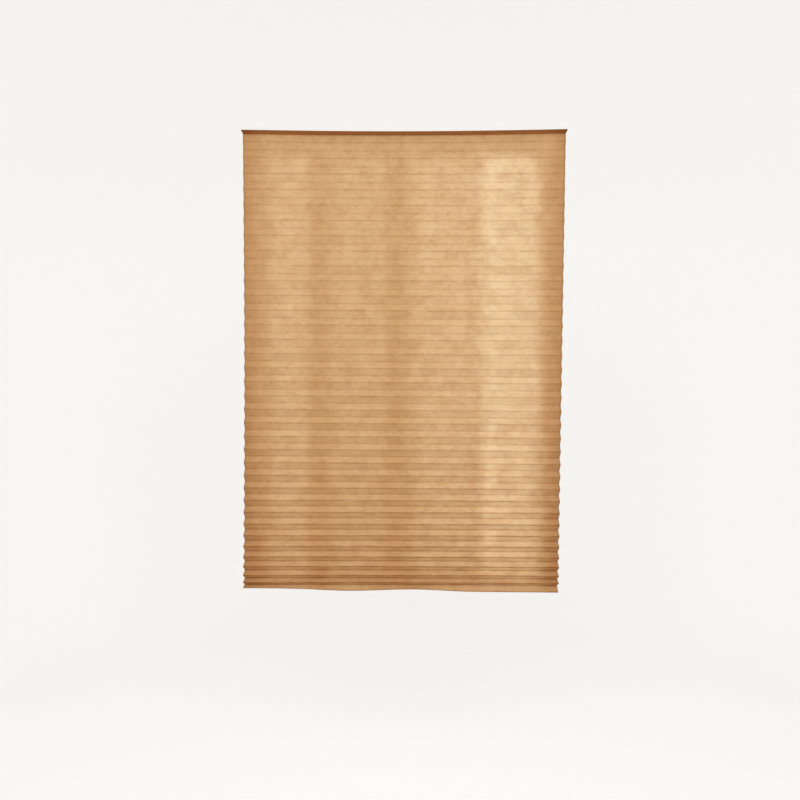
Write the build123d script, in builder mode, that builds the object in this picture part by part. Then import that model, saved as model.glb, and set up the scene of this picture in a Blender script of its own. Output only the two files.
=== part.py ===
from build123d import *
import math
import os

# A self-adhesive pleated window blind: one sheet of non-woven fabric, folded to and fro, which
# hangs by its top panel from the underside of a window's head. Millimetres and degrees.
#
# The origin is the centre of the tape's upper face, the one that sticks to the head. X runs along
# the blind's width, -Y is the room's side, and the blind hangs down -Z.

# The sheet
SHEET_THICKNESS = 0.4
TOP_WIDTH = 878.0
LEFT_TAPER = 2.5  # how far the left edge leans in by the foot
RIGHT_TAPER = 21.5  # the right edge was trimmed further out of square

# The folds
PANEL_DEPTH = 21.5  # from one crease to the next, measured along the sheet
HANGING_PANELS = 69  # below the top panel; an odd number ends the sheet at the front
CREASE_RADIUS = 0.3  # to the middle of the sheet; a heat-set crease is almost sharp

# How far the panels lean from the vertical. The weight below pulls the upper folds nearly flat,
# while the lowest folds carry almost nothing and stay folded.
TOP_LEAN = 6.0
LEAN_GAIN = 45.0  # gained evenly from the hang line to the foot
FOOT_LEAN = 24.0  # gained besides, nearly all of it in the last few panels
FOOT_POWER = 12

# The double-sided tape on the top panel
TAPE_THICKNESS = 0.5
TAPE_END_GAP = 3.0  # from each end of the top panel to the tape
TAPE_EDGE_GAP = 1.75  # from each long edge of the top panel to the tape

# Places that follow from these sizes
TAPE_LENGTH = TOP_WIDTH - 2 * TAPE_END_GAP
TAPE_DEPTH = PANEL_DEPTH - 2 * TAPE_EDGE_GAP
TOP_PANEL_Z = -TAPE_THICKNESS - SHEET_THICKNESS / 2  # the middle of the sheet, in the top panel
FREE_EDGE_Y = -PANEL_DEPTH / 2
HANG_LINE_Y = PANEL_DEPTH / 2  # the crease at the back of the top panel


def swing(crease):
    """How far a crease stands in front of the hang line, or behind it where this is negative."""
    share = crease / HANGING_PANELS
    lean = TOP_LEAN + LEAN_GAIN * share + FOOT_LEAN * share**FOOT_POWER
    towards_room = 1 if crease % 2 else -1
    return towards_room * PANEL_DEPTH / 2 * math.sin(math.radians(lean))


def crease_points():
    """The sheet's free edges and creases in its section, as (y, z), from the top edge to the foot.

    Odd creases are the front ridges and even ones the back valleys. Each panel is one panel depth
    long, so the more it leans, the less it drops.
    """
    points = [(FREE_EDGE_Y, TOP_PANEL_Z), (HANG_LINE_Y, TOP_PANEL_Z)]
    for crease in range(1, HANGING_PANELS + 1):
        last_y, last_z = points[-1]
        y = HANG_LINE_Y - swing(crease)
        z = last_z - math.sqrt(PANEL_DEPTH**2 - (y - last_y) ** 2)
        points.append((y, z))
    return points


FOLDS = crease_points()
FOOT_Z = FOLDS[-1][1] - SHEET_THICKNESS  # just below the cut edge

# The pleated sheet: its folded section, drawn along the blind's width, then trimmed at both sides.
with BuildPart() as pleated_sheet:
    with BuildSketch(Plane.YZ) as section:
        with BuildLine() as folds:
            FilletPolyline(*FOLDS, radius=CREASE_RADIUS)
        trace(line_width=SHEET_THICKNESS)
    extrude(amount=TOP_WIDTH / 2, both=True)
    with BuildSketch(Plane.XZ) as front_outline:
        with BuildLine() as side_cuts:
            Polyline(
                (-TOP_WIDTH / 2, 0),
                (TOP_WIDTH / 2, 0),
                (TOP_WIDTH / 2 - RIGHT_TAPER, FOOT_Z),
                (-TOP_WIDTH / 2 + LEFT_TAPER, FOOT_Z),
                close=True,
            )
        make_face()
    extrude(amount=2 * PANEL_DEPTH, both=True, mode=Mode.INTERSECT)
pleated_sheet.part.label = "pleated_sheet"

# The tape, face to face with the top panel and centred on it.
with BuildPart() as adhesive_strip:
    with BuildSketch(Plane.XY) as tape_outline:
        Rectangle(TAPE_LENGTH, TAPE_DEPTH)
    extrude(amount=-TAPE_THICKNESS)
adhesive_strip.part.label = "adhesive_strip"

os.makedirs("parts", exist_ok=True)
export_step(pleated_sheet.part, "parts/pleated_sheet.step")
export_step(adhesive_strip.part, "parts/adhesive_strip.step")
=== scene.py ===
"""The looks of a self-adhesive pleated window blind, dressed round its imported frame.

The blind is one sheet of tan non-woven cloth, folded to and fro, with a strip of double-sided tape
on its top panel. X runs along the blind's width, -Y is the room's side, Z is up, and the origin is
the centre of the tape's upper face. Sizes are in metres.
"""

import logging
import math
from dataclasses import dataclass, field
from enum import Enum
from typing import Any

import bmesh
import bpy
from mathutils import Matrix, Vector, noise


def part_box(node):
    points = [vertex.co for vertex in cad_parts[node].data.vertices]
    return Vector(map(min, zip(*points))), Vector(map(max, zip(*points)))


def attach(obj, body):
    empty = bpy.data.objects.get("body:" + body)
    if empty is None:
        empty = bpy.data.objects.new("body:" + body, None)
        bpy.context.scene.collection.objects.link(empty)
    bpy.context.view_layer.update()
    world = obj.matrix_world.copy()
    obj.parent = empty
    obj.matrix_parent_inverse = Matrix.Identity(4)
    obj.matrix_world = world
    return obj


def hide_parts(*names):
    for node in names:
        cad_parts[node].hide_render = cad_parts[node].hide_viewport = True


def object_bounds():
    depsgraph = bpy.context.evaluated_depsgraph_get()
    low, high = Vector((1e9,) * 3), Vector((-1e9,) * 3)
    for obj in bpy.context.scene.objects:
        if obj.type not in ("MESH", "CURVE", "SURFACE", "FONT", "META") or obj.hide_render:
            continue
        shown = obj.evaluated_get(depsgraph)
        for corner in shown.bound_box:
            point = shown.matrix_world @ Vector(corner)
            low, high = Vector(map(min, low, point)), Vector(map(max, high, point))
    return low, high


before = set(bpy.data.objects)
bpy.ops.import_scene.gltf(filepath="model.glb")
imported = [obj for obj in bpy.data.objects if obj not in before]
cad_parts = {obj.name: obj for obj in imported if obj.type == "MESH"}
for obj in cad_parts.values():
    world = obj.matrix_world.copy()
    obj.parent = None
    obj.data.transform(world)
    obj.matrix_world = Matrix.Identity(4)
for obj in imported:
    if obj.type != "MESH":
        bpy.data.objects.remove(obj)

CAD_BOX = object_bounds()
MM = 0.001
ROOT = "root"
DAYLIGHT = "#C8E8FF"  # cool, as through a window on a clear day
FLAT_MAP = "flat_cut"  # the cloth's own UV map: metres across and along the flat, unfolded cut
EDGE_DISTANCE = "edge_distance"  # the cloth's own attribute: metres in from the nearer side edge

log = logging.getLogger("pleated_blind")


class Facing(Enum):
    """Which way a panel of the zigzag bulges; the value is the sign along its front normal."""

    ROOM = 1.0
    WINDOW = -1.0


# ---- Small helpers ------------------------------------------------------------------------------


def linear(colour: str) -> tuple[float, float, float, float]:
    """Turns an sRGB hex colour into linear light.

    Args:
        colour: six hex digits with a leading hash.

    Returns:
        Linear red, green and blue, and an alpha of 1.
    """
    shares = [int(colour[i : i + 2], 16) / 255 for i in (1, 3, 5)]
    r, g, b = (c / 12.92 if c <= 0.04045 else ((c + 0.055) / 1.055) ** 2.4 for c in shares)
    return (r, g, b, 1.0)


def add_node(
    tree: bpy.types.NodeTree,
    kind: str,
    settings: dict[str, Any] | None = None,
    inputs: dict[str | int, Any] | None = None,
) -> bpy.types.Node:
    """Adds a node with its settings and its links.

    Args:
        tree: the tree that gets the node.
        kind: the node's Blender type.
        settings: values for the node's own properties.
        inputs: for each input, by name or number, a value, an output socket, or a node whose
            first output in use is linked.

    Returns:
        The new node.
    """
    node = tree.nodes.new(kind)
    for name, value in (settings or {}).items():
        setattr(node, name, value)
    for name, value in (inputs or {}).items():
        if isinstance(value, bpy.types.Node):
            value = next(socket for socket in value.outputs if socket.enabled)
        if isinstance(value, bpy.types.NodeSocket):
            tree.links.new(value, node.inputs[name])
        else:
            node.inputs[name].default_value = value
    return node


def empty_material(name: str) -> bpy.types.Material:
    """Makes a material with an empty node tree, named for what the real one is."""
    material = bpy.data.materials.new(name)
    material.use_nodes = True
    material.node_tree.nodes.clear()
    return material


def make_object(bm: bmesh.types.BMesh, name: str, finish: bpy.types.Material) -> bpy.types.Object:
    """Turns a bmesh into an object at the origin.

    Args:
        bm: the finished bmesh, which is freed.
        name: the piece's name.
        finish: its material.

    Returns:
        The object, linked to the scene.
    """
    mesh = bpy.data.meshes.new(name)
    bm.to_mesh(mesh)
    bm.free()
    mesh.materials.append(finish)
    piece = bpy.data.objects.new(name, mesh)
    bpy.context.scene.collection.objects.link(piece)
    return piece


def eased(value: float, low: float, high: float) -> float:
    """A smooth step from 0 at low to 1 at high."""
    share = min(1.0, max(0.0, (value - low) / (high - low)))
    return share * share * (3 - 2 * share)


# ---- Finishes -----------------------------------------------------------------------------------


@dataclass(frozen=True)
class NonWovenPolyester:
    """Dyed non-woven polyester, calendered flat and heat-set in pleats.

    Fibres laid at random and pressed together look cloudy rather than woven, with no sheen to speak
    of. Light goes straight through between the fibres, so the cloth is paler where it is lit from
    behind, and redder where light has bounced from fold to fold. Each crease is painted darker:
    partly a denser pressed line, partly painted shade under the ridges that deepens towards the
    foot. Painted shade also darkens the top panel under the tape and the side edges. Such places
    are browner, not just darker.
    """

    name: str = "nonwoven_polyester_tan"
    dyed: str = "#F4C68C"
    thick_web: str = "#E2B076"
    fibre: str = "#F8DDB4"
    between_fibres: str = "#F6F4E2"
    see_through: float = 0.34
    thin_gain: float = 0.12  # how much more a thin patch lets through
    roughness: float = 0.88
    roughness_range: float = 0.1  # between thin and thick patches
    specular: float = 0.2  # fibres scatter most of a highlight

    cloud_mm: float = 42.0  # thicker and thinner patches of the web
    mottle_mm: float = 10.0
    mottle_stretch: float = 1.8  # the web is laid lengthwise, so patches are wider than tall
    web_range: tuple[float, float] = (0.7, 1.3)  # of both noises together, from thin to thick
    fibre_mm: float = 0.8  # bundles; single fibres, at 0.02 mm, are too fine to show
    fibre_length_mm: float = 24.0
    fibre_turns: tuple[float, ...] = (7.0, 64.0, -51.0)  # degrees from the width
    fibre_range: tuple[float, float] = (0.55, 0.72)  # only the noise's crests are bundles
    fibre_show: float = 0.3  # how far a bundle's own colour shows
    crease_line_mm: float = 4.0  # the dark line on a crease: a pressed line and painted shade
    crease_halo_mm: float = 10.0  # a softer darker band on both sides of it
    ridge_line_and_shade: float = 0.20  # the pressed line plus painted shade under each front ridge
    valley_dark: float = 0.12
    halo_dark: float = 0.07
    uneven_mm: float = 60.0  # the crease darkening varies along each crease
    uneven_range: tuple[float, float] = (0.3, 0.65)
    uneven_least: float = 0.55
    top_crease_gain: float = 0.62  # the crease darkening at the top, where the folds hang shallow
    foot_shade_gain: float = 2.4  # painted shade, deepest in the lowest folds
    foot_shade_power: float = 4.0
    # painted shade over the top panel, under the tape
    top_panel_shade: float = 0.26
    # painted shade towards both side edges
    edge_shade_mm: float = 60.0
    edge_shade_dark: float = 0.10
    green_lost: float = 1.65  # for each share of red lost to the pressed lines and the painted shade
    blue_lost: float = 2.05

    relief_mm: float = 0.10
    relief_strength: float = 0.5
    web_relief: float = 0.6  # of a bundle's height

    def material(self, panel_depth: float, length: float) -> bpy.types.Material:
        """Builds the cloth.

        Args:
            panel_depth: the distance between creases on the flat cut.
            length: the flat cut's length.

        Returns:
            The material, which reads the cloth's flat UV map.
        """
        material = empty_material(self.name)
        tree = material.node_tree
        flat = add_node(tree, "ShaderNodeUVMap", {"uv_map": FLAT_MAP})
        web = self.web(tree, flat)
        strands = self.strands(tree, flat)
        press_and_shade = self.press_and_shade(tree, flat, panel_depth, length)

        colour = add_node(
            tree,
            "ShaderNodeMix",
            {"data_type": "RGBA"},
            {0: web, 6: linear(self.dyed), 7: linear(self.thick_web)},
        )
        faint = add_node(
            tree, "ShaderNodeMath", {"operation": "MULTIPLY"}, {0: strands, 1: self.fibre_show}
        )
        colour = add_node(
            tree,
            "ShaderNodeMix",
            {"data_type": "RGBA"},
            {0: faint, 6: colour, 7: linear(self.fibre)},
        )
        # Painted shade on the side edges and on the top panel
        painted_shade = add_node(
            tree,
            "ShaderNodeMath",
            {"operation": "ADD"},
            {0: self.painted_edge_shade(tree), 1: self.painted_top_shade(tree, flat, panel_depth)},
        )
        # Pressed lines and painted shade take more green and blue than red, so they read browner
        lost = add_node(tree, "ShaderNodeMath", {"operation": "ADD"}, {0: press_and_shade, 1: painted_shade})
        kept = [
            add_node(
                tree,
                "ShaderNodeMath",
                {"operation": "MULTIPLY_ADD", "use_clamp": True},
                {0: lost, 1: -share, 2: 1.0},
            )
            for share in (1.0, self.green_lost, self.blue_lost)
        ]
        press_and_shade_tint = add_node(tree, "ShaderNodeCombineColor", {}, dict(enumerate(kept)))
        colour = add_node(
            tree,
            "ShaderNodeMix",
            {"data_type": "RGBA", "blend_type": "MULTIPLY"},
            {0: 1.0, 6: colour, 7: press_and_shade_tint},
        )
        through = add_node(
            tree,
            "ShaderNodeMix",
            {"data_type": "RGBA", "blend_type": "MULTIPLY"},
            {0: 1.0, 6: linear(self.between_fibres), 7: press_and_shade_tint},
        )
        opening = add_node(
            tree,
            "ShaderNodeMath",
            {"operation": "MULTIPLY_ADD"},
            {0: web, 1: -self.thin_gain, 2: self.see_through + self.thin_gain / 2},
        )

        height = add_node(
            tree,
            "ShaderNodeMath",
            {"operation": "MULTIPLY_ADD"},
            {0: web, 1: self.web_relief, 2: strands},
        )
        relief = add_node(
            tree,
            "ShaderNodeBump",
            {},
            {
                "Strength": self.relief_strength,
                "Distance": self.relief_mm * MM,
                "Height": height,
            },
        )
        matt = add_node(
            tree,
            "ShaderNodeMath",
            {"operation": "MULTIPLY_ADD"},
            {0: web, 1: self.roughness_range, 2: self.roughness - self.roughness_range / 2},
        )
        surface = add_node(
            tree,
            "ShaderNodeBsdfPrincipled",
            {},
            {
                "Base Color": colour,
                "Roughness": matt,
                "Specular IOR Level": self.specular,
                "Normal": relief,
            },
        )
        glow = add_node(
            tree, "ShaderNodeBsdfTranslucent", {}, {"Color": through, "Normal": relief}
        )
        cloth = add_node(tree, "ShaderNodeMixShader", {}, {0: opening, 1: surface, 2: glow})
        add_node(tree, "ShaderNodeOutputMaterial", {}, {"Surface": cloth})
        return material

    def web(self, tree: bpy.types.NodeTree, flat: bpy.types.Node) -> bpy.types.Node:
        """How thick the web is, from 0 in thin patches to 1 in thick ones.

        Args:
            tree: the material's tree.
            flat: the flat cut's coordinates.

        Returns:
            A node with the value.
        """
        cloud = add_node(
            tree,
            "ShaderNodeTexNoise",
            {"noise_dimensions": "2D"},
            {"Vector": flat, "Scale": 1 / (self.cloud_mm * MM), "Detail": 2.0},
        )
        laid = add_node(
            tree,
            "ShaderNodeMapping",
            {"vector_type": "TEXTURE"},
            {"Vector": flat, "Scale": (self.mottle_stretch, 1.0, 1.0)},
        )
        mottle = add_node(
            tree,
            "ShaderNodeTexNoise",
            {"noise_dimensions": "2D"},
            {"Vector": laid, "Scale": 1 / (self.mottle_mm * MM), "Detail": 3.0, "Roughness": 0.6},
        )
        both = add_node(tree, "ShaderNodeMath", {"operation": "ADD"}, {0: cloud, 1: mottle})
        thin, thick = self.web_range
        return add_node(
            tree, "ShaderNodeMapRange", {}, {"Value": both, "From Min": thin, "From Max": thick}
        )

    def strands(self, tree: bpy.types.NodeTree, flat: bpy.types.Node) -> bpy.types.Node:
        """Bundles of fibres that lie several ways, from 0 between them to 1 on one.

        Args:
            tree: the material's tree.
            flat: the flat cut's coordinates.

        Returns:
            A node with the value.
        """
        lain: bpy.types.Node | None = None
        low, high = self.fibre_range
        for turn in self.fibre_turns:
            turned = add_node(
                tree,
                "ShaderNodeMapping",
                {"vector_type": "TEXTURE"},
                {
                    "Vector": flat,
                    "Location": (turn, turn, 0.0),
                    "Rotation": (0.0, 0.0, math.radians(turn)),
                    "Scale": (self.fibre_length_mm * MM, self.fibre_mm * MM, 1.0),
                },
            )
            waves = add_node(
                tree,
                "ShaderNodeTexNoise",
                {"noise_dimensions": "2D"},
                {"Vector": turned, "Scale": 1.0, "Detail": 1.0},
            )
            strand = add_node(
                tree, "ShaderNodeMapRange", {}, {"Value": waves, "From Min": low, "From Max": high}
            )
            if lain:
                strand = add_node(
                    tree, "ShaderNodeMath", {"operation": "MAXIMUM"}, {0: lain, 1: strand}
                )
            lain = strand
        return lain

    def press_and_shade(
        self, tree: bpy.types.NodeTree, flat: bpy.types.Node, panel_depth: float, length: float
    ) -> bpy.types.Node:
        """Painted crease darkening: partly a pressed line, partly painted shade under the ridges.

        Args:
            tree: the material's tree.
            flat: the flat cut's coordinates.
            panel_depth: the distance between creases.
            length: the flat cut's length.

        Returns:
            A node with the share of light lost.
        """
        cut = add_node(tree, "ShaderNodeSeparateXYZ", {}, {0: flat})
        away = add_node(
            tree,
            "ShaderNodeMath",
            {"operation": "PINGPONG"},
            {0: cut.outputs["Y"], 1: panel_depth / 2},
        )
        halo = add_node(
            tree,
            "ShaderNodeMapRange",
            {},
            {
                "Value": away,
                "From Min": self.crease_halo_mm * MM / 2,
                "From Max": 0.0,
                "To Max": self.halo_dark,
            },
        )
        # Painted shade under each front ridge makes the ridges darker than the valleys
        from_ridge = add_node(
            tree, "ShaderNodeMath", {"operation": "PINGPONG"}, {0: cut.outputs["Y"], 1: panel_depth}
        )
        depth = add_node(
            tree,
            "ShaderNodeMapRange",
            {},
            {
                "Value": from_ridge,
                "From Max": panel_depth,
                "To Min": self.ridge_line_and_shade,
                "To Max": self.valley_dark,
            },
        )
        line = add_node(
            tree,
            "ShaderNodeMapRange",
            {},
            {
                "Value": away,
                "From Min": self.crease_line_mm * MM / 2,
                "From Max": 0.0,
                "To Max": depth,
            },
        )
        lost = add_node(tree, "ShaderNodeMath", {"operation": "ADD"}, {0: line, 1: halo})
        along = add_node(
            tree,
            "ShaderNodeMapping",
            {"vector_type": "TEXTURE"},
            {"Vector": flat, "Scale": (self.uneven_mm * MM, panel_depth, 1.0)},
        )
        uneven = add_node(
            tree,
            "ShaderNodeTexNoise",
            {"noise_dimensions": "2D"},
            {"Vector": along, "Scale": 1.0, "Detail": 2.0},
        )
        low, high = self.uneven_range
        strength = add_node(
            tree,
            "ShaderNodeMapRange",
            {},
            {"Value": uneven, "From Min": low, "From Max": high, "To Min": self.uneven_least},
        )
        lost = add_node(tree, "ShaderNodeMath", {"operation": "MULTIPLY"}, {0: lost, 1: strength})
        # Painted shade: the darkening grows towards the foot, where the folds are deepest
        down = add_node(
            tree, "ShaderNodeMath", {"operation": "DIVIDE"}, {0: cut.outputs["Y"], 1: length}
        )
        down = add_node(
            tree, "ShaderNodeMath", {"operation": "POWER"}, {0: down, 1: self.foot_shade_power}
        )
        lower = add_node(
            tree,
            "ShaderNodeMapRange",
            {},
            {"Value": down, "To Min": self.top_crease_gain, "To Max": self.foot_shade_gain},
        )
        return add_node(tree, "ShaderNodeMath", {"operation": "MULTIPLY"}, {0: lost, 1: lower})

    def painted_top_shade(
        self, tree: bpy.types.NodeTree, flat: bpy.types.Node, panel_depth: float
    ) -> bpy.types.Node:
        """Painted shade that darkens the top panel, under the tape.

        Args:
            tree: the material's tree.
            flat: the flat cut's coordinates.
            panel_depth: the distance between creases.

        Returns:
            A node with the share of light lost.
        """
        cut = add_node(tree, "ShaderNodeSeparateXYZ", {}, {0: flat})
        return add_node(
            tree,
            "ShaderNodeMapRange",
            {},
            {
                "Value": cut.outputs["Y"],
                "From Min": panel_depth,
                "From Max": panel_depth - self.crease_line_mm * MM / 2,
                "To Max": self.top_panel_shade,
            },
        )

    def painted_edge_shade(self, tree: bpy.types.NodeTree) -> bpy.types.Node:
        """Painted shade that darkens the cloth towards both side edges.

        Args:
            tree: the material's tree.

        Returns:
            A node with the share of light lost.
        """
        # Painted shade: darker towards the nearer side edge
        inside = add_node(tree, "ShaderNodeAttribute", {"attribute_name": EDGE_DISTANCE})
        return add_node(
            tree,
            "ShaderNodeMapRange",
            {"interpolation_type": "SMOOTHSTEP"},
            {
                "Value": inside.outputs["Fac"],
                "From Min": 0.0,
                "From Max": self.edge_shade_mm * MM,
                "To Min": self.edge_shade_dark,
                "To Max": 0.0,
            },
        )


@dataclass(frozen=True)
class TapeFilm:
    """Double-sided foam tape: soft and off-white, with a faintly shiny tacky face."""

    name: str = "double_sided_foam_tape"
    face: str = "#F1EFE6"
    pits: str = "#DAD6C8"
    pit_mm: float = 1.4
    roughness: float = 0.42
    relief_mm: float = 0.06
    relief_strength: float = 0.4

    def material(self) -> bpy.types.Material:
        """Builds the tape's material, which reads Object coordinates."""
        material = empty_material(self.name)
        tree = material.node_tree
        place = add_node(tree, "ShaderNodeTexCoord")
        grain = add_node(
            tree,
            "ShaderNodeTexNoise",
            {},
            {"Vector": place.outputs["Object"], "Scale": 1 / (self.pit_mm * MM), "Detail": 3.0},
        )
        colour = add_node(
            tree,
            "ShaderNodeMix",
            {"data_type": "RGBA"},
            {0: grain, 6: linear(self.face), 7: linear(self.pits)},
        )
        relief = add_node(
            tree,
            "ShaderNodeBump",
            {},
            {"Strength": self.relief_strength, "Distance": self.relief_mm * MM, "Height": grain},
        )
        surface = add_node(
            tree,
            "ShaderNodeBsdfPrincipled",
            {},
            {"Base Color": colour, "Roughness": self.roughness, "Normal": relief},
        )
        add_node(tree, "ShaderNodeOutputMaterial", {}, {"Surface": surface})
        return material


@dataclass(frozen=True)
class StudioPaper:
    """Background paper: pale and quite matt, and lit through a little, so that it stays pale."""

    name: str = "studio_background_paper"
    colour: str = "#F4F3F1"
    glow: str = "#E2F3FF"  # cool, to even out the warm sky
    lit_through: float = 0.53

    def material(self) -> bpy.types.Material:
        """Builds the plain paper."""
        material = empty_material(self.name)
        tree = material.node_tree
        surface = add_node(
            tree,
            "ShaderNodeBsdfPrincipled",
            {},
            {
                "Base Color": linear(self.colour),
                "Roughness": 1.0,
                "Specular IOR Level": 0.0,
                "Emission Color": linear(self.glow),
                "Emission Strength": self.lit_through,
            },
        )
        add_node(tree, "ShaderNodeOutputMaterial", {}, {"Surface": surface})
        return material


# ---- The blind ----------------------------------------------------------------------------------


@dataclass
class StuckLine:
    """The line along which the blind was stuck up by hand, a little back from straight."""

    half_width: float
    steady_bow: float = 5.5 * MM  # towards the window at mid width, all the way down
    top_bow: float = 4.0 * MM  # besides, near the tape only
    top_fade: float = 0.06  # share of the panels over which the extra bow fades

    def bow(self, x: float, share: float) -> float:
        """How far the blind stands back from straight.

        Args:
            x: place along the width.
            share: share of the hanging panels above this place.

        Returns:
            A distance towards the window.
        """
        across = math.cos(math.pi / 2 * min(1.0, abs(x) / self.half_width))
        return across * (self.steady_bow + self.top_bow * math.exp(-share / self.top_fade))


@dataclass
class PleatedCloth:
    """The folded cloth: one flat cut, creased into panels and hung by its first crease."""

    finish: NonWovenPolyester = field(default_factory=NonWovenPolyester)
    name: str = "pleated_cloth"
    node: str = "pleated_sheet"

    panel_depth: float = 21.5 * MM
    hanging_panels: int = 69
    thickness: float = 0.4 * MM
    tape_thickness: float = 0.5 * MM

    top_width: float = 878.0 * MM
    left_taper: float = 2.5 * MM
    right_taper: float = 21.5 * MM
    left_hollow: float = 3.0 * MM  # the left edge was trimmed slightly hollow

    top_lean: float = 6.0  # degrees from the vertical
    lean_gain: float = 45.0
    foot_lean: float = 24.0
    foot_power: int = 12

    columns: int = 96
    rows_in_panel: tuple[float, ...] = (0.0, 0.05, 0.17, 0.36, 0.64, 0.83, 0.95)

    flare: float = 9.0  # degrees; a panel leans more at its creases, and hangs taut between
    flare_reach: float = 4.5 * MM
    swing_noise: float = 0.10  # creases are set unevenly
    level_noise: float = 0.55 * MM
    drift: float = 1.7 * MM  # the creases stand a little high below the middle, low above it
    drift_from: float = 0.36
    slack: float = 2.4 * MM  # the right side hangs lower, and its middle pleats lower still
    slack_middle: float = 4.6 * MM
    slack_power: float = 1.2  # how it grows from left to right
    slack_at: float = 0.53
    slack_spread: float = 0.20
    settled_by: float = 0.12  # share of the panels over which drift and slack set in
    wide_dent_mm: float = 0.45
    narrow_dent_mm: float = 0.16
    foot_droop: float = 2.5 * MM  # the last panel droops, most in a wave and at the right
    foot_droop_to: float = 0.4
    foot_wave: float = 6.0 * MM
    foot_wave_at: float = 0.34
    foot_wave_spread: float = 0.13
    foot_drop: float = 8.5 * MM
    foot_drop_from: float = 0.52
    foot_drop_to: float = 0.76

    def build(self, stuck: StuckLine) -> bpy.types.Object:
        """Args:
            stuck: the line along which the blind was stuck up.

        Returns:
            The cloth.
        """
        rows = (self.hanging_panels + 1) * len(self.rows_in_panel)
        bm = bmesh.new()
        bmesh.ops.create_grid(bm, x_segments=self.columns, y_segments=rows, size=0.5)
        flat_map = bm.loops.layers.uv.new(FLAT_MAP)
        edge_distance = bm.verts.layers.float.new(EDGE_DISTANCE)
        line = self.crease_line()
        flat: dict[int, tuple[float, float]] = {}
        for vertex in bm.verts:
            across = vertex.co.x + 0.5
            panel, step = divmod(round((0.5 - vertex.co.y) * rows), len(self.rows_in_panel))
            within = self.rows_in_panel[step]
            vertex.co = self.place(across, panel, within, line, stuck)
            vertex[edge_distance] = min(across, 1 - across) * self.top_width
            flat[vertex.index] = (vertex.co.x, (panel + within) * self.panel_depth)
        for face in bm.faces:
            face.smooth = True
            for loop in face.loops:
                loop[flat_map].uv = flat[loop.vert.index]
        length = (self.hanging_panels + 1) * self.panel_depth
        cloth = make_object(bm, self.name, self.finish.material(self.panel_depth, length))
        web = cloth.modifiers.new("thickness", "SOLIDIFY")
        web.thickness = self.thickness
        web.offset = 0.0

        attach(cloth, ROOT)
        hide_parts(self.node)
        return cloth

    def crease_line(self) -> list[tuple[float, float]]:
        """Finds the creases in the straight section.

        Returns:
            The (y, z) of the free edge, the hang line, each crease and the foot.
        """
        half = self.panel_depth / 2
        top = -self.tape_thickness - self.thickness / 2
        line = [(-half, top), (half, top)]
        for crease in range(1, self.hanging_panels + 1):
            share = crease / self.hanging_panels
            lean = self.top_lean + self.lean_gain * share + self.foot_lean * share**self.foot_power
            towards = -1 if crease % 2 else 1
            y = half + towards * half * math.sin(math.radians(lean))
            drop = math.sqrt(self.panel_depth**2 - (y - line[-1][0]) ** 2)
            line.append((y, line[-1][1] - drop))
        return line

    def crease_at(
        self, across: float, number: int, line: list[tuple[float, float]]
    ) -> tuple[float, float]:
        """Finds where a crease runs, with its small irregularities.

        Args:
            across: 0 at the left edge, 1 at the right.
            number: 0 for the free edge, 1 for the hang line, and so on down.
            line: the creases in the straight section.

        Returns:
            The crease's y and z.
        """
        y, z = line[number]
        if number < 2:
            return y, z
        x = (across - 0.5) * self.top_width
        hang_y = line[1][0]
        share = (number - 1) / self.hanging_panels
        # Long steps through the noise from crease to crease keep neighbours unlike
        swing = 1 + self.swing_noise * noise.noise(Vector((x * 2.6, number * 5.3, 1.7)))
        y = hang_y + (y - hang_y) * swing
        z += self.level_noise * noise.noise(Vector((x * 3.1, number * 4.9, 8.2)))
        settled = eased(share, 0.0, self.settled_by)
        z += self.drift * settled * math.sin(math.tau * (share - self.drift_from))
        middle = math.exp(-(((share - self.slack_at) / self.slack_spread) ** 4))
        z -= (self.slack * settled + self.slack_middle * middle) * across**self.slack_power
        if number == len(line) - 1:
            y, z = self.foot_at(across, line)
        return y, z

    def foot_at(self, across: float, line: list[tuple[float, float]]) -> tuple[float, float]:
        """Finds the cut edge: the last panel carries nothing, so it opens and droops unevenly.

        Args:
            across: 0 at the left edge, 1 at the right.
            line: the creases in the straight section.

        Returns:
            The edge's y and z.
        """
        wave = math.exp(-(((across - self.foot_wave_at) / self.foot_wave_spread) ** 2))
        droop = self.foot_wave * wave + self.foot_droop * eased(across, 0.0, self.foot_droop_to)
        droop += self.foot_drop * eased(across, self.foot_drop_from, self.foot_drop_to)
        valley_y, valley_z = self.crease_at(across, len(line) - 2, line)
        drop = line[-2][1] - line[-1][1] + droop
        return valley_y - math.sqrt(self.panel_depth**2 - drop**2), valley_z - drop

    def place(
        self,
        across: float,
        panel: int,
        within: float,
        line: list[tuple[float, float]],
        stuck: StuckLine,
    ) -> Vector:
        """Finds where a point of the flat cut hangs.

        Args:
            across: 0 at the left edge, 1 at the right.
            panel: the panel's number; 0 is the top one, under the tape.
            within: 0 at the panel's upper crease, 1 at its lower one.
            line: the creases in the straight section.
            stuck: the line along which the blind was stuck up.

        Returns:
            The point in the frame.
        """
        y, z = self.crease_at(across, panel, line)
        share = max(0.0, (panel + within - 1) / self.hanging_panels)
        x = (across - 0.5) * self.top_width
        if within > 0.0:
            y1, z1 = self.crease_at(across, panel + 1, line)
            step_y, step_z = y1 - y, z1 - z
            y += step_y * within
            z += step_z * within
            if panel > 0:
                bulge = Facing.WINDOW if panel % 2 else Facing.ROOM
                off = bulge.value * self.flared(within) + self.unevenness(x, panel, within)
                span = math.hypot(step_y, step_z)
                y += step_z / span * off
                z -= step_y / span * off
        depth = min(1.0, max(0.0, z / line[-1][1]))
        left = -self.top_width / 2 + self.left_taper * depth
        left += self.left_hollow * math.sin(math.pi * depth)
        right = self.top_width / 2 - self.right_taper * depth
        return Vector((left + (right - left) * across, y + stuck.bow(x, share), z))

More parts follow.
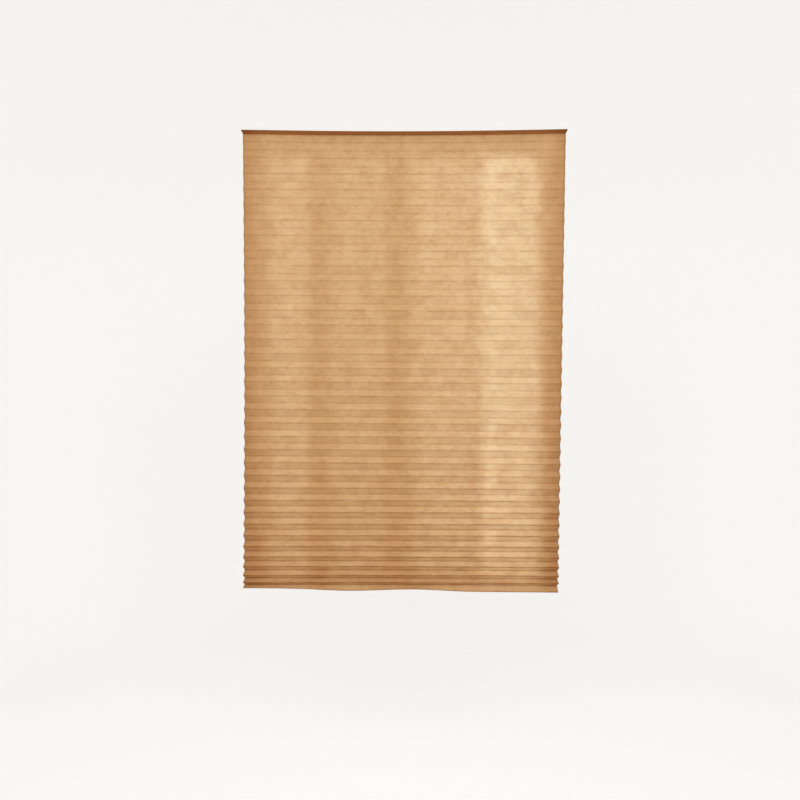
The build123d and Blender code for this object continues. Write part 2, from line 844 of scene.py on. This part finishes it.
    def flared(self, within: float) -> float:
        """How far a panel stands off its chord: an S, nothing at both creases and in the middle.

        Args:
            within: place between the panel's two creases.

        Returns:
            The distance from the chord.
        """
        half = self.panel_depth / 2
        reach = self.flare_reach
        s = (within - 0.5) * self.panel_depth
        rise = reach * math.sinh(s / reach) / math.cosh(half / reach)
        return math.radians(self.flare) * (rise - reach / half * math.tanh(half / reach) * s)

    def unevenness(self, x: float, panel: int, within: float) -> float:
        """Soft dents and bulges of a panel between its creases.

        Args:
            x: place along the width.
            panel: the panel's number.
            within: place between the panel's two creases.

        Returns:
            The distance from the even panel.
        """
        wide = noise.noise(Vector((x * 9.0, panel * 3.7, within * 1.5)))
        narrow = noise.noise(Vector((x * 31.0, panel * 6.1 + 40.0, within * 3.0)))
        dent_mm = self.wide_dent_mm * wide + self.narrow_dent_mm * narrow
        return math.sin(math.pi * within) * dent_mm * MM


@dataclass
class MountingTape:
    """The double-sided tape between the top panel and the window's head."""

    finish: TapeFilm = field(default_factory=TapeFilm)
    name: str = "mounting_tape"
    node: str = "adhesive_strip"
    columns: int = 96
    edge_round: float = 0.12 * MM

    def build(self, stuck: StuckLine) -> bpy.types.Object:
        """Lays the tape along the same line as the cloth's top panel.

        Args:
            stuck: the line along which the blind was stuck up.

        Returns:
            The tape.
        """
        low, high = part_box(self.node)
        bm = bmesh.new()
        bmesh.ops.create_grid(bm, x_segments=self.columns, y_segments=4, size=0.5)
        for vertex in bm.verts:
            x = vertex.co.x * (high[0] - low[0])
            y = vertex.co.y * (high[1] - low[1])
            vertex.co = Vector((x, y + stuck.bow(x, 0.0), high[2]))
        grown = bmesh.ops.extrude_face_region(bm, geom=bm.faces[:])["geom"]
        under = [part for part in grown if isinstance(part, bmesh.types.BMVert)]
        bmesh.ops.translate(bm, verts=under, vec=(0.0, 0.0, low[2] - high[2]))
        bmesh.ops.recalc_face_normals(bm, faces=bm.faces[:])
        sharp = math.radians(60)
        corners = [e for e in bm.edges if e.is_manifold and e.calc_face_angle() > sharp]
        bmesh.ops.bevel(
            bm,
            geom=corners,
            offset=self.edge_round,
            segments=2,
            profile=0.5,
            affect="EDGES",
            material=-1,
        )
        tape = make_object(bm, self.name, self.finish.material())
        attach(tape, ROOT)
        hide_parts(self.node)
        return tape


# ---- The studio ---------------------------------------------------------------------------------


@dataclass(frozen=True)
class Softbox:
    """A soft rectangular lamp, which the camera doesn't see."""

    name: str
    place: tuple[float, float, float]
    aim: tuple[float, float, float]
    size: tuple[float, float]
    watts: float
    colour: str
    spread: float = 180.0  # degrees; a grid in front of the lamp narrows it

    def hang(self) -> None:
        """Puts the lamp in the scene."""
        lamp = bpy.data.lights.new(self.name, "AREA")
        lamp.color = linear(self.colour)[:3]
        lamp.shape = "RECTANGLE"
        lamp.size, lamp.size_y = self.size
        lamp.energy = self.watts
        lamp.spread = math.radians(self.spread)
        stand = bpy.data.objects.new(self.name, lamp)
        stand.location = self.place
        towards = Vector(self.aim) - Vector(self.place)
        stand.rotation_euler = towards.to_track_quat("-Z", "Y").to_euler()
        stand.visible_camera = False
        bpy.context.scene.collection.objects.link(stand)


def pane_lamp(
    name: str, x: float, width: float, watts: float, spread: float, gap: float = 0.08
) -> Softbox:
    """Makes a tall lamp like daylight through one pane, close behind the cloth and square to it.

    Args:
        name: the lamp's name.
        x: the middle of its width.
        width: its width.
        watts: its power.
        spread: how widely it shines, in degrees.
        gap: how far it stands behind the middle of the top panel.

    Returns:
        The lamp.
    """
    middle, height = -0.645, 1.17
    place, aim = (x, gap, middle), (x, 0.0, middle)
    return Softbox(name, place, aim, (width, height), watts, DAYLIGHT, spread)


@dataclass
class Studio:
    """A pale cove round the blind, soft light on both sides of the cloth, and the camera."""

    paper: StudioPaper = field(default_factory=StudioPaper)
    foot_height: float = 0.87  # of the blind's foot above the floor
    floor_radius: float = 2.4
    cove_radius: float = 1.4
    wall_height: float = 8.0
    cove_bends: int = 16
    cove_sides: int = 128
    sky: float = 0.53
    sky_colour: str = "#FFEAD4"  # warm, as light that has bounced round a room

    lamps: tuple[Softbox, ...] = (
        Softbox("key", (0.0, -2.0, 0.0), (0.0, 0.0, -0.6), (2.0, 1.0), 22.5, "#ECF6FF"),
        pane_lamp("behind_1", x=-0.312, width=0.105, watts=0.36, spread=45),
        pane_lamp("behind_2", x=-0.125, width=0.15, watts=0.36, spread=60),
        pane_lamp("behind_3", x=0.13, width=0.22, watts=0.95, spread=100),
        pane_lamp("behind_4", x=0.292, width=0.15, watts=1.2, spread=65, gap=0.07),
    )

    hang_y: float = 10.75 * MM
    eye_distance: float = 1.631  # from the hanging cloth
    eye_height: float = -0.848
    eye_x: float = 0.001
    eye_turn: float = 0.2  # degrees
    lens_mm: float = 27.0
    sensor_mm: float = 36.0
    shift_right: float = -0.0031
    shift_up: float = 0.0566

    def build(self) -> None:
        """Makes the backdrop, the light and the camera."""
        self.make_cove(CAD_BOX[0][2] - self.foot_height)
        self.make_sky()
        for lamp in self.lamps:
            lamp.hang()
        self.make_camera()

    def make_cove(self, floor: float) -> None:
        """Makes a round floor that curves up into a wall. It is seen, but throws no light back.

        Args:
            floor: the floor's height.
        """
        bm = bmesh.new()
        bmesh.ops.create_circle(
            bm, cap_ends=True, segments=self.cove_sides, radius=self.floor_radius
        )
        bmesh.ops.translate(bm, verts=bm.verts[:], vec=(0.0, 0.0, floor))
        rim = bm.edges[:]
        radius, height = self.floor_radius, floor
        for bend in range(1, self.cove_bends + 2):
            angle = math.pi / 2 * min(1.0, bend / self.cove_bends)
            next_radius = self.floor_radius + self.cove_radius * math.sin(angle)
            next_height = floor + self.cove_radius * (1 - math.cos(angle))
            if bend > self.cove_bends:
                next_height = floor + self.wall_height
            grown = bmesh.ops.extrude_edge_only(bm, edges=rim)["geom"]
            rim = [part for part in grown if isinstance(part, bmesh.types.BMEdge)]
            ring = [part for part in grown if isinstance(part, bmesh.types.BMVert)]
            bmesh.ops.scale(bm, verts=ring, vec=(next_radius / radius, next_radius / radius, 1.0))
            bmesh.ops.translate(bm, verts=ring, vec=(0.0, 0.0, next_height - height))
            radius, height = next_radius, next_height
        bmesh.ops.recalc_face_normals(bm, faces=bm.faces[:])
        for face in bm.faces:
            face.smooth = True
        cove = make_object(bm, "studio_cove", self.paper.material())
        cove.visible_diffuse = False
        cove.visible_transmission = False
        cove.visible_shadow = False

    def make_sky(self) -> None:
        """Makes even, slightly warm light from everywhere."""
        world = bpy.data.worlds.new("studio_world")
        world.use_nodes = True
        tree = world.node_tree
        tree.nodes.clear()
        light = add_node(
            tree,
            "ShaderNodeBackground",
            {},
            {"Color": linear(self.sky_colour), "Strength": self.sky},
        )
        add_node(tree, "ShaderNodeOutputWorld", {}, {"Surface": light})
        bpy.context.scene.world = world

    def make_camera(self) -> None:
        """Makes a level camera before the blind, a little below its middle."""
        lens = bpy.data.cameras.new("camera")
        lens.lens = self.lens_mm
        lens.sensor_width = self.sensor_mm
        lens.shift_x = self.shift_right
        lens.shift_y = self.shift_up
        eye = bpy.data.objects.new("camera", lens)
        eye.location = (self.eye_x, self.hang_y - self.eye_distance, self.eye_height)
        eye.rotation_euler = (math.pi / 2, 0.0, math.radians(self.eye_turn))
        bpy.context.scene.collection.objects.link(eye)
        bpy.context.scene.camera = eye


def main() -> None:
    """Builds the studio and the blind."""
    bpy.context.scene.view_settings.view_transform = "Standard"
    Studio().build()
    cloth = PleatedCloth()
    stuck = StuckLine(half_width=cloth.top_width / 2)
    for maker in (cloth, MountingTape()):
        piece = maker.build(stuck)
        log.info("%s: %d faces", piece.name, len(piece.data.polygons))


if __name__ == "__main__":
    logging.basicConfig(level=logging.INFO, format="%(name)s: %(message)s")
    main()
